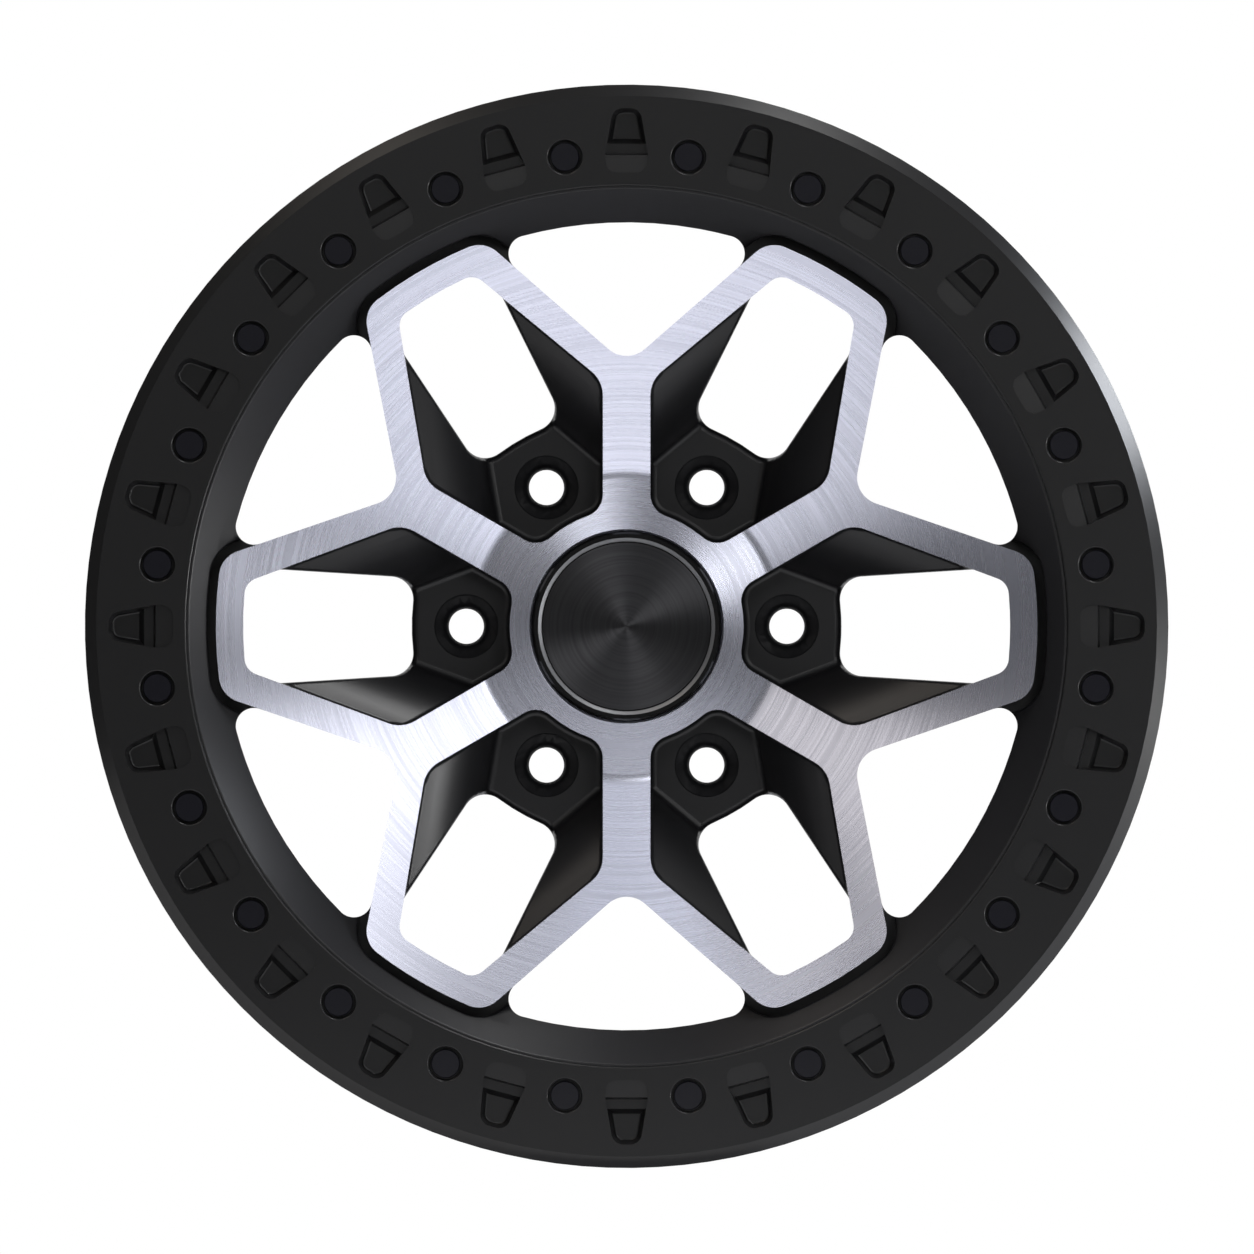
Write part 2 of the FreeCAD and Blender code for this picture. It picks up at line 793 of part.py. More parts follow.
def build_casting():
    body = add_body("wheel_casting")
    rim, wall, mount = cell("rim_half"), cell("barrel_wall"), cell("mount_y")
    pilot = ring_bore - cell("pilot_gap")
    hump_r, ledge_r = bead_r + cell("hump_tall"), drop_r + cell("ledge_rise")
    seat_end = rim - cell("bead_wide")
    hump_y = seat_end - cell("hump_run")
    ledge_end = hump_y - cell("ledge_run")
    well_front = slot_y + cell("well_slope")
    well_back = well_front + cell("well_wide")
    ledge_y = well_back + cell("ledge_slope")
    shoulder_end = slot_y + cell("shoulder_wall")
    bore_end = mount - cell("hub_bore_deep")
    hub_edge = cell("cap_seat_r") + cell("hub_chamfer")
    hub_end_y = hub_y + cell("hub_dome")
    face_slope = (loop_y - hub_end_y) / (loop_r - cell("face_in_r"))
    land_r = loop_r + cell("face_land")
    flare_r, flare_y = cell("mount_r") + cell("mount_flare"), mount - cell("mount_tall")
    revolve(body, "blank", [
        (cell("cap_bore_r"), web_back_y),
        (cell("cap_bore_r"), cap_seat_y),
        (cell("cap_seat_r"), cap_seat_y),
        (cell("cap_seat_r"), hub_y + cell("hub_chamfer")),
        (hub_edge, hub_y),
        (cell("face_in_r"), hub_end_y),
        (land_r, loop_y + face_slope * cell("face_land")),
        (land_r, pilot_y),
        (pilot, pilot_y),
        (pilot, ring_seat_y),
        (bead_r - cell("seat_drop"), ring_seat_y),
        (bead_r - cell("seat_drop"), slot_y),
        (shoulder_r, slot_y),
        (shoulder_r, shoulder_end),
        (drop_r, well_front),
        (drop_r, well_back),
        (ledge_r, ledge_y),
        (ledge_r, ledge_end),
        (hump_r, hump_y),
        (bead_r - cell("bead_taper"), seat_end),
        (bead_r, rim),
        (flange_r - cell("flange_foot"), rim),
        (flange_r, rim + cell("flange_rise")),
        (flange_r, back_y - cell("flange_edge")),
        (flange_r - cell("flange_bevel"), back_y),
        (flange_r - cell("flange_wall"), back_y),
        (bead_r - wall, rim),
        (bead_r - cell("bead_taper") - wall, seat_end),
        (ledge_r - wall, ledge_end),
        (ledge_r - wall, ledge_y),
        (drop_r - wall, well_back),
        (drop_r - wall, well_front),
        (drop_r - wall - cell("web_root_in"), slot_y + cell("web_root_run")),
        (flare_r, flare_y),
        (cell("mount_r"), mount),
        (cell("hub_bore_r"), mount),
        (cell("hub_bore_r"), bore_end),
        (cell("clip_space_r"), bore_end),
        (cell("clip_space_r"), web_back_y),
    ])
    fillet(body, "face_blend", cell("face_blend"), circle_at((cell("face_in_r"), hub_end_y)))
    fillet(body, "well_rounds", cell("well_round"), circle_at(
        (drop_r, well_front), (drop_r, well_back), (ledge_r, ledge_y), (flare_r, flare_y),
        (drop_r - wall, well_front), (drop_r - wall, well_back), (ledge_r - wall, ledge_y)))
    fillet(body, "edge_rounds", cell("edge_round"), circle_at(
        (shoulder_r, slot_y), (shoulder_r, shoulder_end), (hump_r, hump_y), (bead_r, rim),
        (flange_r - cell("flange_foot"), rim), (flange_r - cell("flange_wall"), back_y), (cell("mount_r"), mount)))
    cut_bodies(body, "casting_cuts", [
        build_petal_cutter(),
        build_triangle_cutter(),
        build_lip_cutter(),
        build_lug_cutter(),
        build_relief_cutter(),
        build_tapped_cutter(),
        build_valve_cutter(),
    ])
    fillet(body, "lip_edge", cell("lip_edge"), circle_at((lip_start, pilot_y)))
    return body


def build_ring():
    body = add_body("clamp_ring")
    revolve(body, "ring", [
        (ring_bore, ring_seat_y),
        (ring_bore, face_y),
        (ring_od - cell("ring_chamfer"), face_y),
        (ring_od, face_y + cell("ring_chamfer")),
        (ring_od, ring_seat_y - cell("ring_back_rise")),
        (ring_od - cell("ring_back_run"), ring_seat_y),
    ])
    fillet(body, "bore_edge", cell("ring_edge"), circle_at((ring_bore, face_y)))
    cut_bodies(body, "ring_cuts", [build_scoop_cutter(), build_recess_cutter()])
    fillet(body, "recess_edges", cell("recess_round"), circle_sized(cell("recess_r"), face_y))
    return body


def build_scoop_cutter():
    """One scoop: three shallow steps that fall outwards into a flat-floored pocket."""
    body = add_body("scoop_cutter")
    inner, wide = ring_bore + cell("scoop_start"), ring_bore + cell("scoop_widest")
    step, outer = ring_bore + cell("scoop_step"), ring_bore + cell("scoop_end")
    inner_half, wide_half, outer_half = cell("scoop_in_half"), cell("scoop_wide_half"), cell("scoop_out_half")
    floor, run, past = face_y + cell("scoop_deep"), cell("scoop_step_run"), cell("past")
    pad_between(body, "scoop", [
        (inner, inner_half),
        (wide, wide_half),
        (outer, outer_half),
        (outer, -outer_half),
        (wide, -wide_half),
        (inner, -inner_half),
    ], floor, front_y)
    corners = both_sides(inner, inner_half) + both_sides(outer, outer_half)
    fillet(body, "corners", cell("scoop_corner"), upright_at(*corners))
    section = add_sketch(body, "step_section", "XY_Plane")
    draw_outline(section, [
        (inner - past, face_y + cell("scoop_lip")),
        (inner, face_y + cell("scoop_lip")),
        (wide - run, face_y + cell("scoop_first")),
        (wide, face_y + cell("scoop_second")),
        (step - run, face_y + cell("scoop_second")),
        (step, floor),
        (step, floor + past),
        (inner - past, floor + past),
    ])
    pocket(body, "steps", section)
    fillet(body, "floor_fillet", cell("scoop_fillet"), foot_at(floor, step + NEAR, outer + NEAR))
    repeat_body(body, "scoops", cell("screws"))
    return body


def build_recess_cutter():
    """Counterbore for a screw's head and a through hole for its shank."""
    body = add_body("recess_cutter")
    hole, mouth, foot = cell("ring_hole_r"), cell("recess_r"), ring_seat_y + cell("past")
    revolve(body, "recess", [
        (screw_circle, foot),
        (screw_circle + hole, foot),
        (screw_circle + hole, recess_y),
        (screw_circle + mouth, recess_y),
        (screw_circle + mouth, front_y),
        (screw_circle, front_y),
    ], axis_r=screw_circle, tilt=screw_tilt)
    repeat_body(body, "recesses", cell("screws"))
    return body


def build_screws():
    body = add_body("ring_screws")
    shank, head, top = cell("screw_r"), cell("head_r"), recess_y - cell("head_tall")
    point, bevel = cell("screw_point"), cell("head_chamfer")
    revolve(body, "screw", [
        (screw_circle, screw_foot),
        (screw_circle + shank - point, screw_foot),
        (screw_circle + shank, screw_foot - point),
        (screw_circle + shank, recess_y),
        (screw_circle + head, recess_y),
        (screw_circle + head, top + bevel),
        (screw_circle + head - bevel, top),
        (screw_circle, top),
    ], axis_r=screw_circle, tilt=screw_tilt)
    corner = cell("socket_flats") / (cosine(30) * 2)
    socket = add_sketch(body, "socket_outline", "XZ_Plane", level=-top, turn=-screw_tilt)
    draw_outline(socket, [
        (screw_circle + corner * cosine(60 * side), corner * sine(60 * side))
        for side in range(6)
    ])
    blind_pocket(body, "socket", socket, cell("socket_deep"))
    repeat_body(body, "screws", cell("screws"))
    return body


def build_screw_caps():
    """Plug with a stem in the screw's socket and a disc over its head."""
    body = add_body("screw_caps")
    head, seat, bevel = cell("head_r"), recess_y - cell("head_tall"), cell("plug_chamfer")
    top, foot = seat - cell("plug_thick"), seat + cell("plug_stem")
    stem = cell("socket_flats") / 2 - cell("plug_gap")
    revolve(body, "plug", [
        (screw_circle, foot),
        (screw_circle + stem, foot),
        (screw_circle + stem, seat),
        (screw_circle + head, seat),
        (screw_circle + head, top + bevel),
        (screw_circle + head - bevel, top),
        (screw_circle, top),
    ], axis_r=screw_circle, tilt=screw_tilt)
    repeat_body(body, "plugs", cell("screws"))
    return body


# The cap's rim, the bevel inside it and the recess for the disc.
cap_front_y = hub_y - cell("cap_rise")
cap_floor_y = cap_front_y + cell("cap_recess")
cap_rim_r = cell("cap_seat_r") - cell("cap_gap")
cap_lip_r = cap_rim_r - cell("cap_rim_wide")
cap_hollow_r = cap_lip_r - cell("cap_bevel")


def build_cap_shell():
    """Moulded cap: glossy rim, floor for the disc and a slotted skirt with barbed clips."""
    body = add_body("cap_shell")
    bevel = cell("cap_chamfer")
    skirt = cell("cap_bore_r") - cell("clip_gap")
    inside = skirt - cell("clip_wall")
    catch = web_back_y + cell("cap_gap")
    end = catch + cell("clip_tall")
    back = cap_floor_y + cell("cap_wall")
    revolve(body, "shell", [
        (as_size(0), cap_floor_y),
        (cap_hollow_r, cap_floor_y),
        (cap_hollow_r, cap_front_y + cell("cap_bevel")),
        (cap_lip_r, cap_front_y),
        (cap_rim_r - bevel, cap_front_y),
        (cap_rim_r, cap_front_y + bevel),
        (cap_rim_r, cap_seat_y),
        (skirt, cap_seat_y),
        (skirt, catch),
        (skirt + cell("clip_barb"), catch),
        (skirt - cell("clip_taper"), end),
        (inside, end),
        (inside, back),
        (as_size(0), back),
    ])
    half, past = cell("clip_slot") / 2, cell("past")
    slot = add_sketch(body, "slot_outline", "XZ_Plane", level=-(end + past))
    draw_outline(slot, [
        (inside - past, half),
        (skirt + past, half),
        (skirt + past, -half),
        (inside - past, -half),
    ])
    cut = blind_pocket(body, "slot", slot, end + past - cap_seat_y - cell("clip_root"), forward=True)
    repeat(body, "slots", cell("clips"), [cut])
    return body


def build_cap_disc():
    body = add_body("cap_disc")
    radius = cap_hollow_r - cell("cap_disc_gap")
    front = cap_floor_y - cell("cap_disc_thick")
    revolve(body, "disc", [
        (as_size(0), cap_floor_y),
        (radius, cap_floor_y),
        (radius, front),
        (as_size(0), front),
    ])
    return body


parts = [
    build_casting(),
    build_ring(),
    build_screws(),
    build_screw_caps(),
    build_cap_shell(),
    build_cap_disc(),
]
doc.recompute()
for thing in doc.Objects:
    if "Invalid" in thing.State or "Error" in thing.State:
        raise ValueError(f"{thing.Name} did not build: {thing.State}")
os.makedirs("parts", exist_ok=True)
for body in parts:
    if body.Shape.isNull() or not body.Shape.isValid():
        raise ValueError(f"{body.Label} has no valid shape")
    body.Shape.exportStep(f"parts/{body.Label}.step")
    print(body.Label, len(body.Shape.Solids), "solids", round(body.Shape.Volume / 1000, 1), "cm3")
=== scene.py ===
# %% [markdown]
# # An alloy truck wheel
# The wheel is one black aluminium casting whose front was turned bright on a lathe, a bolted clamp ring
# round its outboard edge, and a pop-in centre cap. The solids come from the CAD frame, in metres, with
# the spin axis along Y and the outboard face towards -Y. This lesson smooths and finishes them.

# %% Load the frame
import math

import bmesh
import bpy
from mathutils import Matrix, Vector


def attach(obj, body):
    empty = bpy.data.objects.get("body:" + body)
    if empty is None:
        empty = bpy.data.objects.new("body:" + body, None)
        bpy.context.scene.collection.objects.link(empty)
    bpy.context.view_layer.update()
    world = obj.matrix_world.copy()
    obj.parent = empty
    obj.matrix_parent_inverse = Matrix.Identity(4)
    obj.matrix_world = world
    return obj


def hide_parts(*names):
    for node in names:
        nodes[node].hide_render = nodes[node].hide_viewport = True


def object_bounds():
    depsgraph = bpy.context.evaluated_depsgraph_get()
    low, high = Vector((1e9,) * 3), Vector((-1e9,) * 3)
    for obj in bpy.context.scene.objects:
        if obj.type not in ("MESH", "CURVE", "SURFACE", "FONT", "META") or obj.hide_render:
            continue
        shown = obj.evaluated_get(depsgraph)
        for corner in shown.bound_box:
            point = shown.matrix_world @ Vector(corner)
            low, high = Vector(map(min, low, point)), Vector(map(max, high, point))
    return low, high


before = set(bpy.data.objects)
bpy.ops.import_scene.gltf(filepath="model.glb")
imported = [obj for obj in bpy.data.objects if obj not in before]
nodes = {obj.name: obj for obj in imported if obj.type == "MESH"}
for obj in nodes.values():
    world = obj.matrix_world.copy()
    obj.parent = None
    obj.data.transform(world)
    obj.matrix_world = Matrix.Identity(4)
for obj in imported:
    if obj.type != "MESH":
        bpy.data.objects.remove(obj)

cad_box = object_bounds()
MM = 0.001
print("nodes:", sorted(nodes))
print("CAD box:", [tuple(round(v, 4) for v in corner) for corner in cad_box])

# %% [markdown]
# ## Colours and nodes
# Colours are written as sRGB hex values, the way a picture editor shows them. Blender's shaders work with
# linear light, so one function converts them. A second one adds a node, sets its values and links its inputs.

# %% Colour and node helpers
def linear(hex_colour):
    channels = [int(hex_colour[i:i + 2], 16) / 255 for i in (1, 3, 5)]
    return tuple(c / 12.92 if c <= 0.04045 else ((c + 0.055) / 1.055) ** 2.4 for c in channels) + (1.0,)


def add_node(tree, kind, inputs=None, **settings):
    node = tree.nodes.new(kind)
    for name, value in settings.items():
        setattr(node, name, value)
    for name, value in (inputs or {}).items():
        if isinstance(value, bpy.types.NodeSocket):
            tree.links.new(value, node.inputs[name])
        else:
            node.inputs[name].default_value = value
    return node


def start_material(name):
    material = bpy.data.materials.new(name)
    material.use_nodes = True
    tree = material.node_tree
    shader = next(node for node in tree.nodes if node.type == "BSDF_PRINCIPLED")
    place = add_node(tree, "ShaderNodeTexCoord").outputs["Object"]
    return material, tree, shader, place


print("mid grey #808080 is", round(linear("#808080")[0], 3), "in linear light")

# %% [markdown]
# ## The lathe's path
# The bright face is a surface of revolution: a small chamfer at the bore, a slight dome on the hub, a soft
# hollow, and a dish that rises along the ribs to the loops. A lathe tool followed that path and left
# everything below it black, so the same path tells the bright faces from the black ones.

# %% Profile of the turned face
BORE = (41.4 * MM, -73.0 * MM)
HUB_IN = (42.4 * MM, -74.0 * MM)
DISH_IN = (66.7 * MM, -72.0 * MM)
DISH_OUT = (179.1 * MM, -116.0 * MM)
LATHE_PATH = [BORE, HUB_IN, DISH_IN, DISH_OUT]
ON_PATH = 0.6 * MM
FACES_FRONT = -0.5


def lean(inner, outer):
    """Angle of the face's normal, away from the axis when positive."""
    return math.atan2(outer[1] - inner[1], outer[0] - inner[0])


HUB_LEAN = lean(HUB_IN, DISH_IN)
DISH_LEAN = lean(DISH_IN, DISH_OUT)


def lathe_level(radius):
    """Y of the turned face at a radius, or None beside the lathe's path."""
    for (r0, y0), (r1, y1) in zip(LATHE_PATH, LATHE_PATH[1:]):
        if r0 - ON_PATH <= radius <= r1 + ON_PATH:
            return y0 + (y1 - y0) * (radius - r0) / (r1 - r0)
    return None


def is_turned(face):
    if face.normal.y > FACES_FRONT:
        return False
    for vert in face.verts:
        level = lathe_level(math.hypot(vert.co.x, vert.co.z))
        if level is None or abs(vert.co.y - level) > ON_PATH:
            return False
    return True


hub_degrees, dish_degrees = math.degrees(HUB_LEAN), math.degrees(DISH_LEAN)
print("hub leans", round(hub_degrees, 1), "degrees, dish leans", round(dish_degrees, 1))

# %% [markdown]
# ## Lug seats
# The solid has a flat faced ring round each lug hole, in an upright wall. The photograph shows a soft dark
# dish there, as a cutter leaves that falls towards the hole. Moving the two circles of points that bound the
# ring is enough for that: the inner one goes deeper, the outer one rises and draws in.

# %% Fall of the lug seats
LUGS = 6
LUG_CIRCLE = 69.85 * MM
SEAT_LEVEL = -48.5 * MM
SEAT_EDGE = 10.6 * MM
FACE_EDGE = 14.0 * MM
SEAT_FALL = 0.7 * MM
FACE_RISE = 0.6 * MM
FACE_DRAFT = 0.6 * MM
NEAR = 0.05 * MM


def out_along(turn, radius):
    """Point at a radius in the plane through the origin, at an angle round the spin axis."""
    return Vector((math.cos(turn), 0.0, math.sin(turn))) * radius


seat_centres = [out_along(math.tau * index / LUGS, LUG_CIRCLE) for index in range(LUGS)]
for centre in seat_centres:
    centre.y = SEAT_LEVEL


def dish_lug_seats(work):
    """Let the faced ring round each lug hole fall towards the hole."""
    for vert in work.verts:
        inward = min((lug - vert.co for lug in seat_centres), key=lambda way: way.length)
        if abs(inward.length - SEAT_EDGE) < NEAR:
            vert.co.y += SEAT_FALL
        elif abs(inward.length - FACE_EDGE) < NEAR:
            vert.co += inward.normalized() * FACE_DRAFT
            vert.co.y -= FACE_RISE


print("lug seats:", len(seat_centres))

# %% [markdown]
# ## Scoops and screw recesses
# The ring's scoops are stepped pockets, as a milling cutter makes them. In the solid their walls are upright
# and can't be seen from the front, but the photograph shows them as dark outlines, so the pocket's foot is
# drawn in. The first shelf is almost level. The rounded edge of a screw recess is narrow, so it stays dark.

# %% Draft of the scoops
RING_FACE = -126.0 * MM
SCOOPS = 24
SCOOP_TURN = math.tau / SCOOPS
SCOOP_HALF = math.radians(2.8)
SHELF_IN = 197.0 * MM
SHELF_OUT = 205.7 * MM
SHELF_LIP = 0.5 * MM
SHELF_FOLD = 1.5 * MM
SHELF_EASE = 0.35
WALL_FOOT = 4.4 * MM
POCKET_FLOOR = 6.0 * MM
POCKET_MIDDLE = 218.0 * MM
POCKET_OUT = 226.5 * MM
POCKET_DRAFT = 0.82


def ease_scoops(work):
    """Flatten each scoop's first shelf and give its pocket's walls a draft."""
    for vert in work.verts:
        depth = vert.co.y - RING_FACE
        reach = math.hypot(vert.co.x, vert.co.z)
        turn = math.atan2(vert.co.z, vert.co.x)
        middle = SCOOP_TURN * round(turn / SCOOP_TURN)
        if abs(turn - middle) > SCOOP_HALF or not SHELF_IN < reach < POCKET_OUT:
            continue
        if reach < SHELF_OUT and SHELF_LIP - NEAR < depth < SHELF_FOLD + NEAR:
            vert.co.y = RING_FACE + SHELF_LIP + (depth - SHELF_LIP) * SHELF_EASE
        elif WALL_FOOT - NEAR < depth < POCKET_FLOOR + NEAR:
            centre = out_along(middle, POCKET_MIDDLE)
            centre.y = vert.co.y
            vert.co = centre + (vert.co - centre) * POCKET_DRAFT


print("scoops:", SCOOPS, "at", round(math.degrees(SCOOP_TURN), 1), "degrees")

# %% Edge of the screw recesses
SCREW_CIRCLE = 206.4 * MM
RECESS = 7.3 * MM
RECESS_ROUND = 1.5 * MM
RECESS_TIGHTER = 0.55


def tighten_recesses(work):
    """Make the rounded edge of each screw recess narrower."""
    for vert in work.verts:
        if vert.co.y - RING_FACE > RECESS_ROUND + NEAR:
            continue
        middle = SCOOP_TURN * (math.floor(math.atan2(vert.co.z, vert.co.x) / SCOOP_TURN) + 0.5)
        axis = out_along(middle, SCREW_CIRCLE)
        away = Vector((vert.co.x - axis.x, 0.0, vert.co.z - axis.z))
        if RECESS - NEAR < away.length < RECESS + RECESS_ROUND + NEAR:
            vert.co -= away.normalized() * (away.length - RECESS) * RECESS_TIGHTER


print("recess edge:", round(RECESS_ROUND * (1 - RECESS_TIGHTER) / MM, 2), "mm wide")

# %% [markdown]
# ## Smooth copies of the solids
# A CAD node arrives as loose flat triangles. A merged copy of it can be shaded smooth: triangles in one plane
# are joined, edges with a large angle stay sharp, and weighted normals let the large faces win over the
# narrow strips of a fillet. So flats stay flat and fillets roll softly from one to the next. A test on each
# face picks those of a second finish: the turned face of the casting, and the plated bevel of the cap.

# %% Copy, merge and smooth
MERGE = 0.003 * MM
FLAT = math.radians(0.05)
CREASE = math.radians(38)
LARGE_FACES_WEIGH = 90
CAP_BEVEL_OUT = 39.0 * MM
CAP_BEVEL_BACK = -70.0 * MM
BEVEL_LEAN = (-0.8, -0.6)


def is_cap_bevel(face):
    middle = face.calc_center_median()
    in_reach = math.hypot(middle.x, middle.z) < CAP_BEVEL_OUT and middle.y < CAP_BEVEL_BACK
    return in_reach and BEVEL_LEAN[0] < face.normal.y < BEVEL_LEAN[1]


def finished_copy(node_name, second_finish=None, refine=()):
    work = bmesh.new()
    work.from_mesh(nodes[node_name].data)
    bmesh.ops.remove_doubles(work, verts=work.verts, dist=MERGE)
    for step in refine:
        step(work)
    bmesh.ops.dissolve_limit(work, angle_limit=FLAT, verts=work.verts, edges=work.edges)
    for face in work.faces:
        face.smooth = True
        face.material_index = 1 if second_finish and second_finish(face) else 0
    for edge in work.edges:
        edge.smooth = edge.is_manifold and edge.calc_face_angle(0.0) < CREASE
    mesh = bpy.data.meshes.new(node_name + "_finished")
    work.to_mesh(mesh)
    second = sum(1 for face in work.faces if face.material_index == 1)
    work.free()
    piece = bpy.data.objects.new(node_name + "_finished", mesh)
    bpy.context.scene.collection.objects.link(piece)
    weigh = piece.modifiers.new("large_faces_win", "WEIGHTED_NORMAL")
    weigh.mode = "FACE_AREA"
    weigh.weight = LARGE_FACES_WEIGH
    weigh.keep_sharp = True
    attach(piece, "root")
    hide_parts(node_name)
    print(node_name, "faces:", len(mesh.polygons), "in the second finish:", second)
    return piece


casting = finished_copy("wheel_casting", is_turned, [dish_lug_seats])
ring = finished_copy("clamp_ring", refine=[ease_scoops, tighten_recesses])
screws = finished_copy("ring_screws")
screw_caps = finished_copy("screw_caps")
cap_shell = finished_copy("cap_shell", is_cap_bevel)
cap_disc = finished_copy("cap_disc")

# %% [markdown]
# ## Satin black powder coat
# Powder coat is melted polyester: a black pigment under a soft gloss, with a faint orange peel a few
# millimetres across. A weak bump of that size breaks up the reflections without showing as a pattern.

# %% Powder coat
PEEL = 2.5 * MM
PEEL_DEEP = 0.05 * MM
PEEL_STRENGTH = 0.05
COAT_IOR = 1.4


def powder_coat(name, hex_colour, roughness):
    material, tree, shader, place = start_material(name)
    peel = add_node(tree, "ShaderNodeTexNoise", {"Vector": place, "Scale": 1 / PEEL, "Detail": 2.0})
    bump = add_node(tree, "ShaderNodeBump", {
        "Height": peel.outputs["Fac"],
        "Strength": PEEL_STRENGTH,
        "Distance": PEEL_DEEP,
    })
    tree.links.new(bump.outputs["Normal"], shader.inputs["Normal"])
    shader.inputs["Base Color"].default_value = linear(hex_colour)
    shader.inputs["Roughness"].default_value = roughness
    shader.inputs["IOR"].default_value = COAT_IOR
    return material


# Baked polyester powder on the casting, a slightly smoother one on the ring, and a darker one on the caps.
casting.data.materials.append(powder_coat("satin_black_powder_coat", "#18181a", 0.34))
ring.data.materials.append(powder_coat("satin_black_ring_coat", "#131314", 0.3))
screw_caps.data.materials.append(powder_coat("satin_black_screw_cap", "#0a0a12", 0.25))
print("coats:", [material.name for material in bpy.data.materials])

# %% [markdown]
# ## Turned aluminium
# The lathe leaves fine grooves round the axis. They spread a highlight across themselves, so each lamp shows
# as a fan that points at the hub. The shader's anisotropy does that, with its tangent set along the radius.
# Grooves of about 0.2 mm would be lost in the picture, so the streaks are drawn near a millimetre.
#
# The mesh is made of flat triangles, and a mirror-like metal would show them. On the turned face the normal
# depends on the radius alone, so the shader works it out from the lathe's path instead.

# %% Turned face
GROOVE = 1.0 * MM
ARCS = 0.5
HOLLOW = (64.4 * MM, 69.0 * MM)
CHAMFER_END = (42.35 * MM, 42.45 * MM)
RIPPLE = 0.006
NOISE_SPAN = (0.25, 0.75)
UNIT = (0.0, 1.0)
MIX_A, MIX_B, MIX_RESULT = 6, 7, 2


def along_radius(tree, place):
    """Unit vector away from the spin axis, and the distance from it."""
    across_axis = {0: place, 1: (1.0, 0.0, 1.0)}
    flat = add_node(tree, "ShaderNodeVectorMath", across_axis, operation="MULTIPLY").outputs[0]
    reach = add_node(tree, "ShaderNodeVectorMath", {0: flat}, operation="LENGTH").outputs["Value"]
    way = add_node(tree, "ShaderNodeVectorMath", {0: flat}, operation="NORMALIZE").outputs[0]
    return way, reach


def ramp(tree, value, span, low, high):
    """Goes from low to high while a value crosses a span."""
    ends = {"Value": value, "From Min": span[0], "From Max": span[1], "To Min": low, "To Max": high}
    return add_node(tree, "ShaderNodeMapRange", ends).outputs["Result"]


def reckon(tree, operation, *terms):
    return add_node(tree, "ShaderNodeMath", dict(enumerate(terms)), operation=operation).outputs[0]


def grooves(tree, way, reach):
    """Noise drawn out into arcs: quick along the radius, slow round the axis."""
    across = add_node(tree, "ShaderNodeCombineXYZ", {"Y": reckon(tree, "DIVIDE", reach, GROOVE)}).outputs[0]
    along = add_node(tree, "ShaderNodeVectorMath", {0: way, "Scale": ARCS}, operation="SCALE").outputs[0]
    spot = add_node(tree, "ShaderNodeVectorMath", {0: across, 1: along}, operation="ADD").outputs[0]
    return add_node(tree, "ShaderNodeTexNoise", {"Vector": spot, "Scale": 1.0, "Detail": 1.0}).outputs["Fac"]


def path_normal(tree, way, reach, ripple):
    """Normal of the lathe's path at a radius, with the ripple of the grooves."""
    at_bore = ramp(tree, reach, CHAMFER_END, lean(BORE, HUB_IN) - HUB_LEAN, 0.0)
    along = ramp(tree, reach, HOLLOW, HUB_LEAN, DISH_LEAN)
    angle = reckon(tree, "ADD", reckon(tree, "ADD", at_bore, along), ripple)
    forward = reckon(tree, "MULTIPLY", reckon(tree, "COSINE", angle), -1.0)
    face_on = add_node(tree, "ShaderNodeCombineXYZ", {"Y": forward}).outputs[0]
    sideways = {0: way, "Scale": reckon(tree, "SINE", angle)}
    aside = add_node(tree, "ShaderNodeVectorMath", sideways, operation="SCALE").outputs[0]
    return add_node(tree, "ShaderNodeVectorMath", {0: face_on, 1: aside}, operation="ADD").outputs[0]


def turned_metal(name, dark, light, roughness, streak, spread, follows_path):
    material, tree, shader, place = start_material(name)
    way, reach = along_radius(tree, place)
    rings = ramp(tree, grooves(tree, way, reach), NOISE_SPAN, *UNIT)
    colours = {"Factor": rings, MIX_A: linear(dark), MIX_B: linear(light)}
    tint = add_node(tree, "ShaderNodeMix", colours, data_type="RGBA").outputs[MIX_RESULT]
    rough = ramp(tree, rings, UNIT, roughness + streak, roughness - streak)
    if follows_path:
        ripple = ramp(tree, rings, UNIT, -RIPPLE / 2, RIPPLE / 2)
        tree.links.new(path_normal(tree, way, reach, ripple), shader.inputs["Normal"])
    tree.links.new(tint, shader.inputs["Base Color"])
    tree.links.new(rough, shader.inputs["Roughness"])
    tree.links.new(way, shader.inputs["Tangent"])
    shader.inputs["Metallic"].default_value = 1.0
    shader.inputs["Anisotropic"].default_value = spread
    return material


# Turned aluminium on the casting's face, and spun aluminium with a black finish on the cap's disc.
casting.data.materials.append(
    turned_metal("turned_aluminium", "#c6c8d6", "#d6d8e7", 0.27, 0.03, 0.72, True))
cap_disc.data.materials.append(
    turned_metal("spun_black_aluminium", "#3a3a3c", "#464648", 0.32, 0.02, 0.9, False))
print("turned face uses", casting.data.materials[1].name)

# %% [markdown]
# ## Gloss black ABS and black steel
# The cap's rim is injection-moulded ABS from a polished mould: black, with a clear reflection, and its bevel
# round the disc is plated. The screws are steel with a black oxide, which stays metallic but very dark.

# %% Cap and screws
CLOUD = 6 * MM


def plain_finish(name, hex_colour, metallic, low, high):
    """A finish whose gloss wanders a little between two roughnesses."""
    material, tree, shader, place = start_material(name)
    cloud = add_node(tree, "ShaderNodeTexNoise", {"Vector": place, "Scale": 1 / CLOUD})
    rough = ramp(tree, cloud.outputs["Fac"], UNIT, low, high)
    tree.links.new(rough, shader.inputs["Roughness"])
    shader.inputs["Base Color"].default_value = linear(hex_colour)
    shader.inputs["Metallic"].default_value = metallic
    return material


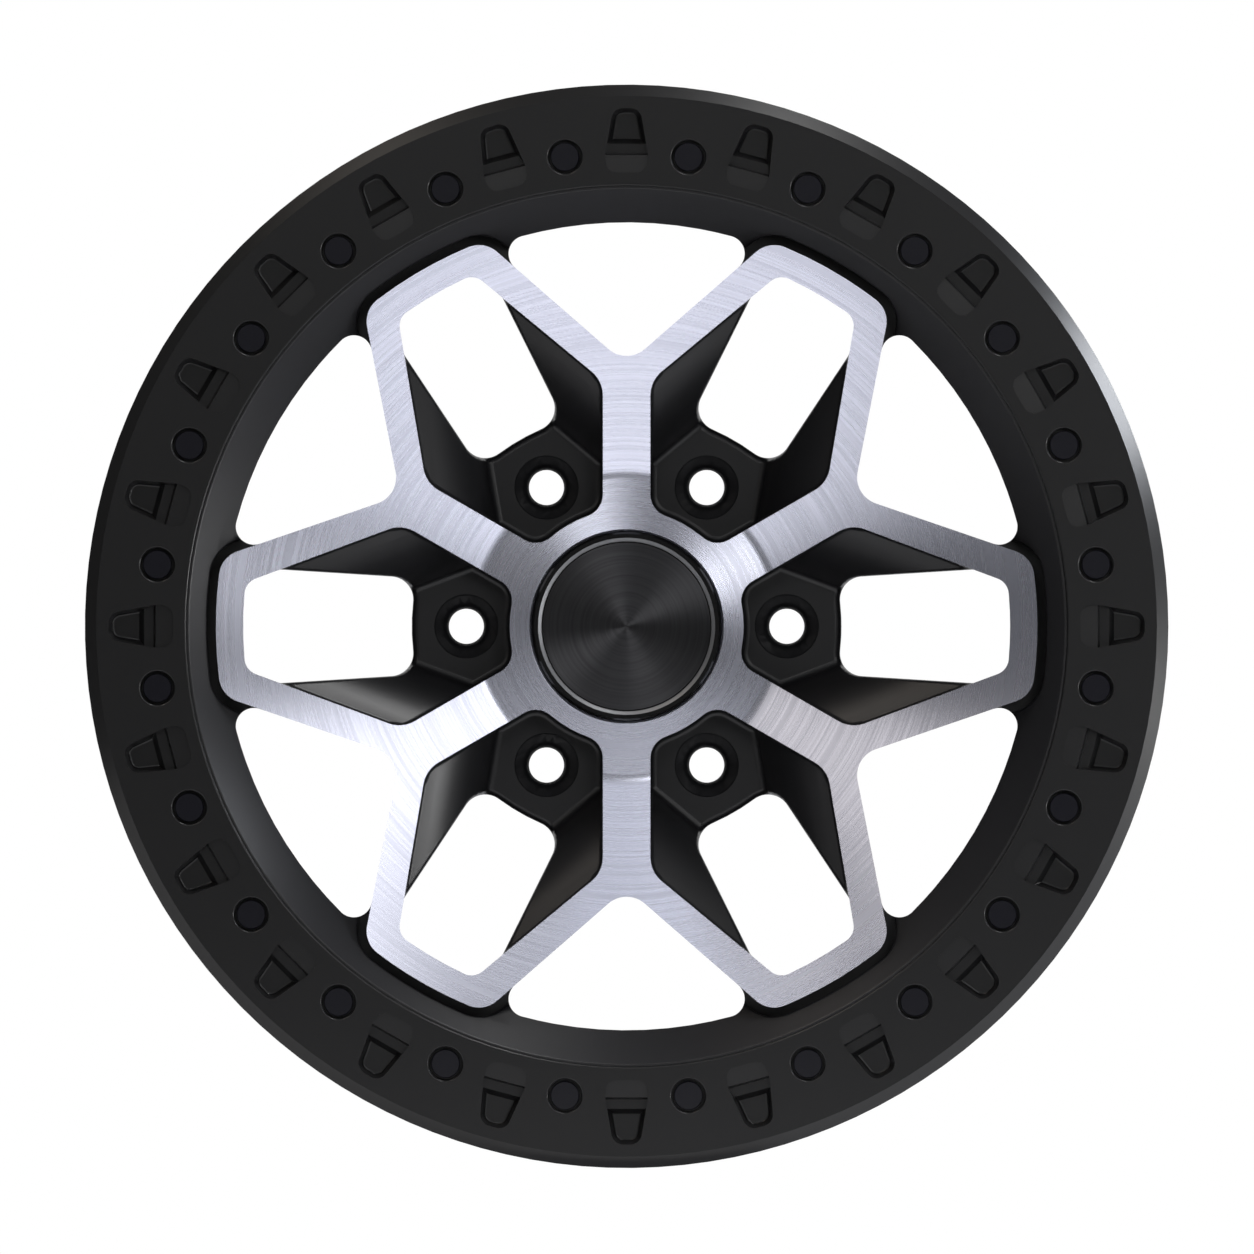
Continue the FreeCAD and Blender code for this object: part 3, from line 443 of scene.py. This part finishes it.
# Polished ABS, satin plating on its bevel, and oxide-blackened steel.
cap_shell.data.materials.append(plain_finish("gloss_black_abs", "#0d0d0e", 0.0, 0.1, 0.16))
cap_shell.data.materials.append(plain_finish("satin_plated_bevel", "#96979a", 1.0, 0.5, 0.6))
screws.data.materials.append(plain_finish("black_oxide_steel", "#2a2a2d", 1.0, 0.4, 0.5))
print("finishes:", len(bpy.data.materials))

# %% [markdown]
# ## Camera
# The photograph is a straight front view without perspective, so the camera is orthographic and looks
# along +Y. The size of a pixel follows from the lug circle, taken as the standard 139.7 mm.

# %% Camera
PIXEL = 0.43598 * MM
IMAGE = 1254
CENTRE = (0.17 * MM, -0.3 * MM)
CAMERA_AWAY = 3.0
camera_data = bpy.data.cameras.new("camera")
camera_data.type = "ORTHO"
camera_data.ortho_scale = IMAGE * PIXEL
camera = bpy.data.objects.new("camera", camera_data)
camera.location = (CENTRE[0], -CAMERA_AWAY, CENTRE[1])
camera.rotation_euler = (math.radians(90), 0.0, 0.0)
bpy.context.scene.collection.objects.link(camera)
bpy.context.scene.camera = camera
print("picture covers", round(camera_data.ortho_scale, 4), "m")

# %% [markdown]
# ## Floor
# The wheel stands on a sheet of pale paper, which keeps its shadow. A mirror-like face that looks down sees
# the paper a little brighter than it is lit, as the white sweep of a studio would look there.

# %% Floor
FLOOR_HALF = 0.8
FLOOR_GLOW = 0.3
FLOOR_ROUGHNESS = 0.8
floor_mesh = bpy.data.meshes.new("floor")
plane = bmesh.new()
bmesh.ops.create_grid(plane, x_segments=1, y_segments=1, size=FLOOR_HALF)
bmesh.ops.translate(plane, verts=plane.verts, vec=(0.0, 0.0, cad_box[0][2]))
plane.to_mesh(floor_mesh)
plane.free()
floor = bpy.data.objects.new("floor", floor_mesh)
bpy.context.scene.collection.objects.link(floor)
# Matt off-white paper.
pale, pale_tree, pale_shader, pale_place = start_material("pale_floor_paper")
pale_shader.inputs["Base Color"].default_value = linear("#f2f2f2")
pale_shader.inputs["Roughness"].default_value = FLOOR_ROUGHNESS
pale_path = add_node(pale_tree, "ShaderNodeLightPath")
glow = ramp(pale_tree, pale_path.outputs["Is Glossy Ray"], UNIT, 0.0, FLOOR_GLOW)
pale_tree.links.new(glow, pale_shader.inputs["Emission Strength"])
pale_shader.inputs["Emission Color"].default_value = linear("#f4f6ff")
floor.data.materials.append(pale)
print("floor at", round(cad_box[0][2], 4))

# %% [markdown]
# ## World
# The background is white to the camera and through anything clear. Polished metal sees white only behind the
# wheel, where the backdrop is. In front of the wheel the room is dim, as a studio is beside its lamps.

# %% World
ROOM = 0.12
BACKDROP_STARTS, BACKDROP_FULL = 0.3, 0.6
world = bpy.data.worlds.new("white_room")
bpy.context.scene.world = world
world.use_nodes = True
sky = world.node_tree
back = next(node for node in sky.nodes if node.type == "BACKGROUND")
path = add_node(sky, "ShaderNodeLightPath")
direction = add_node(sky, "ShaderNodeTexCoord").outputs["Generated"]
heading = add_node(sky, "ShaderNodeSeparateXYZ", {0: direction})
behind = ramp(sky, heading.outputs["Y"], (BACKDROP_STARTS, BACKDROP_FULL), *UNIT)
mirrored = reckon(sky, "MULTIPLY", path.outputs["Is Glossy Ray"], behind)
looked_at = reckon(sky, "MAXIMUM", path.outputs["Is Camera Ray"], path.outputs["Is Transmission Ray"])
white = reckon(sky, "MAXIMUM", looked_at, mirrored)
sky.links.new(ramp(sky, white, UNIT, ROOM, 1.0), back.inputs["Strength"])
back.inputs["Color"].default_value = (1.0, 1.0, 1.0, 1.0)
print("room level:", ROOM)

# %% [markdown]
# ## Lamps
# Nine soft boxes stand on a sphere round the hub. Each rib mirrors what lies opposite it round the axis,
# about 43 degrees off the axis, and the hub mirrors what lies nearly in front. So each box is placed by its
# clock angle and its angle off the axis, and each one lights a known part of the face.

# %% Lamps
LAMP_AWAY = 2.2


def soft_box(name, clock, off_axis, size, watts, tint):
    """A square soft box that faces the hub. Its clock angle runs from the right hand upwards."""
    turn, lift = math.radians(clock), math.radians(off_axis)
    place = out_along(turn, math.sin(lift) * LAMP_AWAY)
    place.y = -math.cos(lift) * LAMP_AWAY
    lamp = bpy.data.lights.new(name, "AREA")
    lamp.size = size
    lamp.energy = watts
    lamp.color = linear(tint)[:3]
    holder = bpy.data.objects.new(name, lamp)
    holder.location = place
    holder.rotation_euler = (-place).to_track_quat("-Z", "Y").to_euler()
    bpy.context.scene.collection.objects.link(holder)


soft_box("key", 37, 43, 1.2, 6.8, "#ffffff")
soft_box("key_front", 30, 20, 0.4, 3, "#ffffff")
soft_box("top_front", 110, 20, 0.4, 2.5, "#ffffff")
soft_box("top_middle", 92, 43, 0.7, 1.6, "#f6f8ff")
soft_box("upper_left", 148, 43, 0.8, 2.4, "#fff8f0")
soft_box("top", 118, 72, 0.7, 10, "#fff4e8")
soft_box("right_edge", 26, 90, 0.55, 35, "#f4f8ff")
soft_box("right_low", 352, 74, 0.5, 24, "#ffffff")
soft_box("top_right", 72, 74, 0.5, 20, "#ffffff")
bpy.context.scene.view_settings.view_transform = "Standard"
